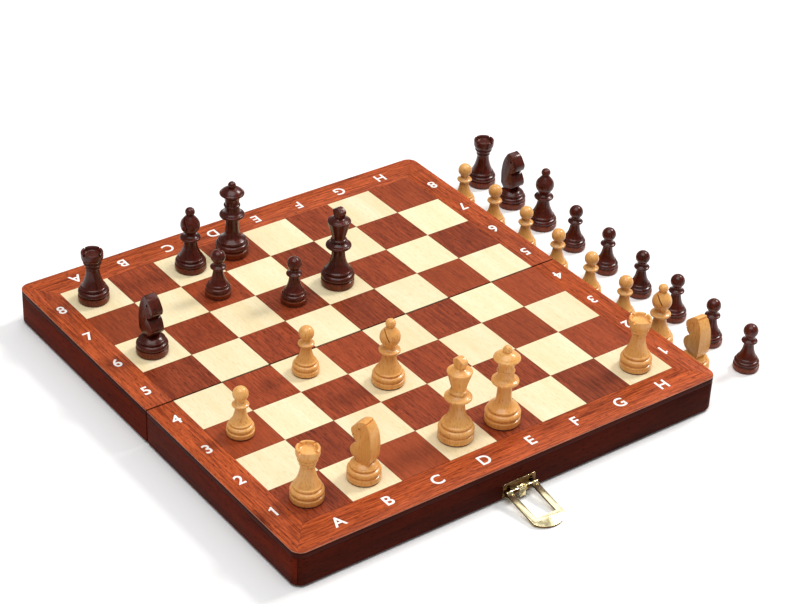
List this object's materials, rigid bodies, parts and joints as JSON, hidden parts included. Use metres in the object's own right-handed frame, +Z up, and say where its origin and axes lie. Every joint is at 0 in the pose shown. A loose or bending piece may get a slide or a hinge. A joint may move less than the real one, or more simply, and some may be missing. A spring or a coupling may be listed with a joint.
{
  "type": "chess set with board",
  "caption": "Folding wooden chess case that opens flat as a lettered board, with a brass clasp, a flocked storage insert and turned light and dark men.",
  "frame": {"origin": "middle of the whole set's box, on the surface it stands on", "axes": "+X from the a-file to the h-file, +Y from the first rank to the eighth, +Z up"},
  "size_m": [0.323, 0.312, 0.0715],
  "materials": {
    "mahogany_rail": "stained and lacquered",
    "mahogany_border": "satin lacquer, straight fine grain",
    "mahogany_square": "satin lacquer, fine grain",
    "maple_square": "satin lacquer, pale close grain",
    "plywood": "stained at the edges, raw inside",
    "green_flock": "matte short pile",
    "brass": "polished",
    "boxwood": "clear lacquer",
    "rosewood": "gloss lacquer"
  },
  "bodies": {
    "front_half": {"front_outer_rail": "mahogany_rail", "front_left_rail": "mahogany_rail", "front_right_rail": "mahogany_rail", "front_hinge_rail": "mahogany_rail", "front_panel": "plywood", "front_border": "mahogany_border", "front_dark_squares": "mahogany_square", "front_light_squares": "maple_square", "front_hinge_leaves": "brass", "hinge_pins": "brass", "front_hinge_screws": "brass", "clasp_plate": "brass", "clasp_pin": "brass", "clasp_screws": "brass"},
    "rear_half": {"rear_outer_rail": "mahogany_rail", "rear_left_rail": "mahogany_rail", "rear_right_rail": "mahogany_rail", "rear_hinge_rail": "mahogany_rail", "rear_panel": "plywood", "rear_border": "mahogany_border", "rear_dark_squares": "mahogany_square", "rear_light_squares": "maple_square", "storage_insert": "green_flock", "rear_hinge_leaves": "brass", "rear_hinge_screws": "brass", "catch_plate": "brass", "catch_screws": "brass"},
    "clasp_loop": {"clasp_loop": "brass"},
    "light_king": {"light_king": "boxwood"},
    "light_queen": {"light_queen": "boxwood"},
    "light_rook_1": {"light_rook_1": "boxwood"},
    "light_rook_2": {"light_rook_2": "boxwood"},
    "light_bishop_1": {"light_bishop_1": "boxwood"},
    "light_bishop_2": {"light_bishop_2": "boxwood"},
    "light_knight_1": {"light_knight_1": "boxwood"},
    "light_knight_2": {"light_knight_2": "boxwood"},
    "light_pawn_1": {"light_pawn_1": "boxwood"},
    "light_pawn_2": {"light_pawn_2": "boxwood"},
    "light_pawn_3": {"light_pawn_3": "boxwood"},
    "light_pawn_4": {"light_pawn_4": "boxwood"},
    "light_pawn_5": {"light_pawn_5": "boxwood"},
    "light_pawn_6": {"light_pawn_6": "boxwood"},
    "light_pawn_7": {"light_pawn_7": "boxwood"},
    "light_pawn_8": {"light_pawn_8": "boxwood"},
    "dark_king": {"dark_king": "rosewood"},
    "dark_queen": {"dark_queen": "rosewood"},
    "dark_rook_1": {"dark_rook_1": "rosewood"},
    "dark_rook_2": {"dark_rook_2": "rosewood"},
    "dark_bishop_1": {"dark_bishop_1": "rosewood"},
    "dark_bishop_2": {"dark_bishop_2": "rosewood"},
    "dark_knight_1": {"dark_knight_1": "rosewood"},
    "dark_knight_2": {"dark_knight_2": "rosewood"},
    "dark_pawn_1": {"dark_pawn_1": "rosewood"},
    "dark_pawn_2": {"dark_pawn_2": "rosewood"},
    "dark_pawn_3": {"dark_pawn_3": "rosewood"},
    "dark_pawn_4": {"dark_pawn_4": "rosewood"},
    "dark_pawn_5": {"dark_pawn_5": "rosewood"},
    "dark_pawn_6": {"dark_pawn_6": "rosewood"},
    "dark_pawn_7": {"dark_pawn_7": "rosewood"},
    "dark_pawn_8": {"dark_pawn_8": "rosewood"}
  },
  "joints": [
    {"name": "fold", "type": "hinge", "parent": "front_half", "child": "rear_half", "pos_m": [-0.0255, 0.01377, 0.0012], "axis": [-1, 0, 0], "range_deg": [0, 180]},
    {"name": "clasp", "type": "hinge", "parent": "front_half", "child": "clasp_loop", "pos_m": [-0.0255, -0.12783, 0.00575], "axis": [-1, 0, 0], "range_deg": [-79.6, 98.4]},
    {"name": "lift_light_king", "type": "slide", "parent": "front_half", "child": "light_king", "axis": [0, 0, 1], "range_m": [0, 0.08]},
    {"name": "lift_light_queen", "type": "slide", "parent": "front_half", "child": "light_queen", "axis": [0, 0, 1], "range_m": [0, 0.08]},
    {"name": "lift_light_rook_1", "type": "slide", "parent": "front_half", "child": "light_rook_1", "axis": [0, 0, 1], "range_m": [0, 0.08]},
    {"name": "lift_light_rook_2", "type": "slide", "parent": "front_half", "child": "light_rook_2", "axis": [0, 0, 1], "range_m": [0, 0.08]},
    {"name": "lift_light_bishop_1", "type": "slide", "parent": "front_half", "child": "light_bishop_1", "axis": [0, 0, 1], "range_m": [0, 0.08]},
    {"name": "lift_light_knight_1", "type": "slide", "parent": "front_half", "child": "light_knight_1", "axis": [0, 0, 1], "range_m": [0, 0.08]},
    {"name": "lift_light_pawn_1", "type": "slide", "parent": "front_half", "child": "light_pawn_1", "axis": [0, 0, 1], "range_m": [0, 0.08]},
    {"name": "lift_light_pawn_2", "type": "slide", "parent": "front_half", "child": "light_pawn_2", "axis": [0, 0, 1], "range_m": [0, 0.08]},
    {"name": "lift_dark_king", "type": "slide", "parent": "rear_half", "child": "dark_king", "axis": [0, 0, 1], "range_m": [0, 0.08]},
    {"name": "lift_dark_queen", "type": "slide", "parent": "rear_half", "child": "dark_queen", "axis": [0, 0, 1], "range_m": [0, 0.08]},
    {"name": "lift_dark_rook_1", "type": "slide", "parent": "rear_half", "child": "dark_rook_1", "axis": [0, 0, 1], "range_m": [0, 0.08]},
    {"name": "lift_dark_bishop_1", "type": "slide", "parent": "rear_half", "child": "dark_bishop_1", "axis": [0, 0, 1], "range_m": [0, 0.08]},
    {"name": "lift_dark_knight_1", "type": "slide", "parent": "rear_half", "child": "dark_knight_1", "axis": [0, 0, 1], "range_m": [0, 0.08]},
    {"name": "lift_dark_pawn_1", "type": "slide", "parent": "rear_half", "child": "dark_pawn_1", "axis": [0, 0, 1], "range_m": [0, 0.08]},
    {"name": "lift_dark_pawn_2", "type": "slide", "parent": "rear_half", "child": "dark_pawn_2", "axis": [0, 0, 1], "range_m": [0, 0.08]},
    {"name": "lift_light_bishop_2", "type": "slide", "parent": "front_half", "child": "light_bishop_2", "axis": [0, 0, 1], "range_m": [0, 0.08]},
    {"name": "lift_light_knight_2", "type": "slide", "parent": "front_half", "child": "light_knight_2", "axis": [0, 0, 1], "range_m": [0, 0.08]},
    {"name": "lift_light_pawn_3", "type": "slide", "parent": "front_half", "child": "light_pawn_3", "axis": [0, 0, 1], "range_m": [0, 0.08]},
    {"name": "lift_light_pawn_4", "type": "slide", "parent": "front_half", "child": "light_pawn_4", "axis": [0, 0, 1], "range_m": [0, 0.08]},
    {"name": "lift_light_pawn_5", "type": "slide", "parent": "front_half", "child": "light_pawn_5", "axis": [0, 0, 1], "range_m": [0, 0.08]},
    {"name": "lift_light_pawn_6", "type": "slide", "parent": "front_half", "child": "light_pawn_6", "axis": [0, 0, 1], "range_m": [0, 0.08]},
    {"name": "lift_light_pawn_7", "type": "slide", "parent": "front_half", "child": "light_pawn_7", "axis": [0, 0, 1], "range_m": [0, 0.08]},
    {"name": "lift_light_pawn_8", "type": "slide", "parent": "front_half", "child": "light_pawn_8", "axis": [0, 0, 1], "range_m": [0, 0.08]},
    {"name": "lift_dark_rook_2", "type": "slide", "parent": "front_half", "child": "dark_rook_2", "axis": [0, 0, 1], "range_m": [0, 0.08]},
    {"name": "lift_dark_bishop_2", "type": "slide", "parent": "front_half", "child": "dark_bishop_2", "axis": [0, 0, 1], "range_m": [0, 0.08]},
    {"name": "lift_dark_knight_2", "type": "slide", "parent": "front_half", "child": "dark_knight_2", "axis": [0, 0, 1], "range_m": [0, 0.08]},
    {"name": "lift_dark_pawn_3", "type": "slide", "parent": "front_half", "child": "dark_pawn_3", "axis": [0, 0, 1], "range_m": [0, 0.08]},
    {"name": "lift_dark_pawn_4", "type": "slide", "parent": "front_half", "child": "dark_pawn_4", "axis": [0, 0, 1], "range_m": [0, 0.08]},
    {"name": "lift_dark_pawn_5", "type": "slide", "parent": "front_half", "child": "dark_pawn_5", "axis": [0, 0, 1], "range_m": [0, 0.08]},
    {"name": "lift_dark_pawn_6", "type": "slide", "parent": "front_half", "child": "dark_pawn_6", "axis": [0, 0, 1], "range_m": [0, 0.08]},
    {"name": "lift_dark_pawn_7", "type": "slide", "parent": "front_half", "child": "dark_pawn_7", "axis": [0, 0, 1], "range_m": [0, 0.08]},
    {"name": "lift_dark_pawn_8", "type": "slide", "parent": "front_half", "child": "dark_pawn_8", "axis": [0, 0, 1], "range_m": [0, 0.08]}
  ]
}
